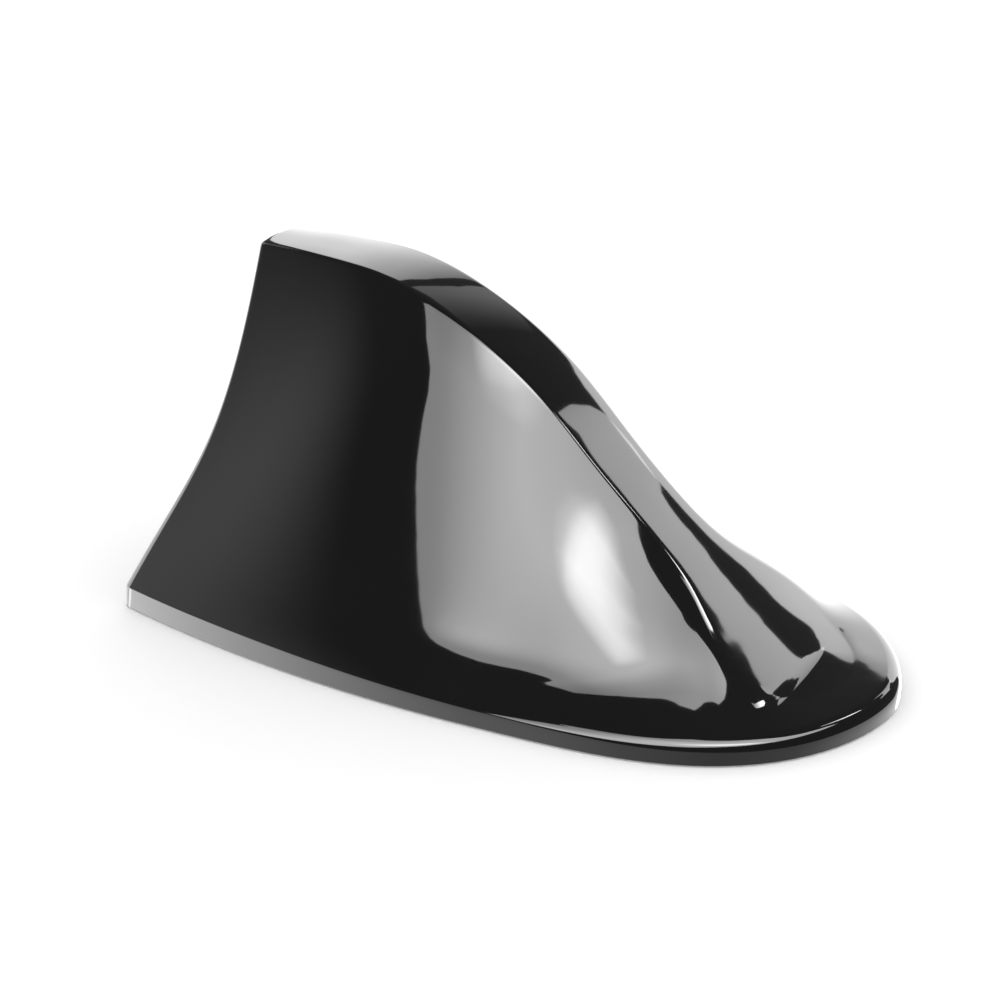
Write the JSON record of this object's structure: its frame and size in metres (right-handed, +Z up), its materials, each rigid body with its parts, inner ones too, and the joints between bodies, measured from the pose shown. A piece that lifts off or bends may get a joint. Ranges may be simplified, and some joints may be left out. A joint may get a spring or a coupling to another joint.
{
  "type": "shark fin aerial",
  "caption": "Glossy black fin-shaped roof aerial: a tall leaning rear edge, a ridged crest falling to a low rounded nose, on a flat adhesive base with an amplifier board and loaded coil inside.",
  "frame": {"origin": "on the roof face, under the middle of the overall length and width", "axes": "+X towards the low nose (front of the car), +Y to the left of the car, +Z up"},
  "size_m": [0.15, 0.077, 0.0734],
  "materials": {
    "cover": "high gloss moulded black",
    "base_plate": "fine moulded grain",
    "adhesive_pad": "closed-cell foam with a tacky face",
    "edge_seal": "soft moulded rubber",
    "ground_plate": "zinc plated sheet",
    "circuit_board": "green solder mask",
    "shield_can": "tin plated sheet",
    "amplifier_chip": "moulded package with tinned legs",
    "filter_block": "fired ceramic",
    "capacitors": "ceramic chips with tinned ends",
    "resistors": "glazed chips with tinned ends",
    "choke": "ferrite drum with enamelled wire",
    "coil_former": "natural moulded plastic",
    "coil_wire": "enamelled copper wire",
    "top_plate": "tin plated sheet",
    "feed_pin": "turned brass",
    "ground_spring": "spring bronze strip",
    "lead_socket": "plated coaxial socket",
    "lead_grommet": "soft rubber",
    "board_screws": "zinc plated",
    "cover_screws": "zinc plated",
    "former_screw": "zinc plated"
  },
  "bodies": {
    "root": {"cover": "cover", "base_plate": "base_plate", "adhesive_pad": "adhesive_pad", "edge_seal": "edge_seal", "ground_plate": "ground_plate", "circuit_board": "circuit_board", "shield_can": "shield_can", "amplifier_chip": "amplifier_chip", "filter_block": "filter_block", "capacitors": "capacitors", "resistors": "resistors", "choke": "choke", "coil_former": "coil_former", "coil_wire": "coil_wire", "top_plate": "top_plate", "feed_pin": "feed_pin", "ground_spring": "ground_spring", "lead_socket": "lead_socket", "lead_grommet": "lead_grommet", "board_screws": "board_screws", "cover_screws": "cover_screws", "former_screw": "former_screw"}
  },
  "joints": []
}
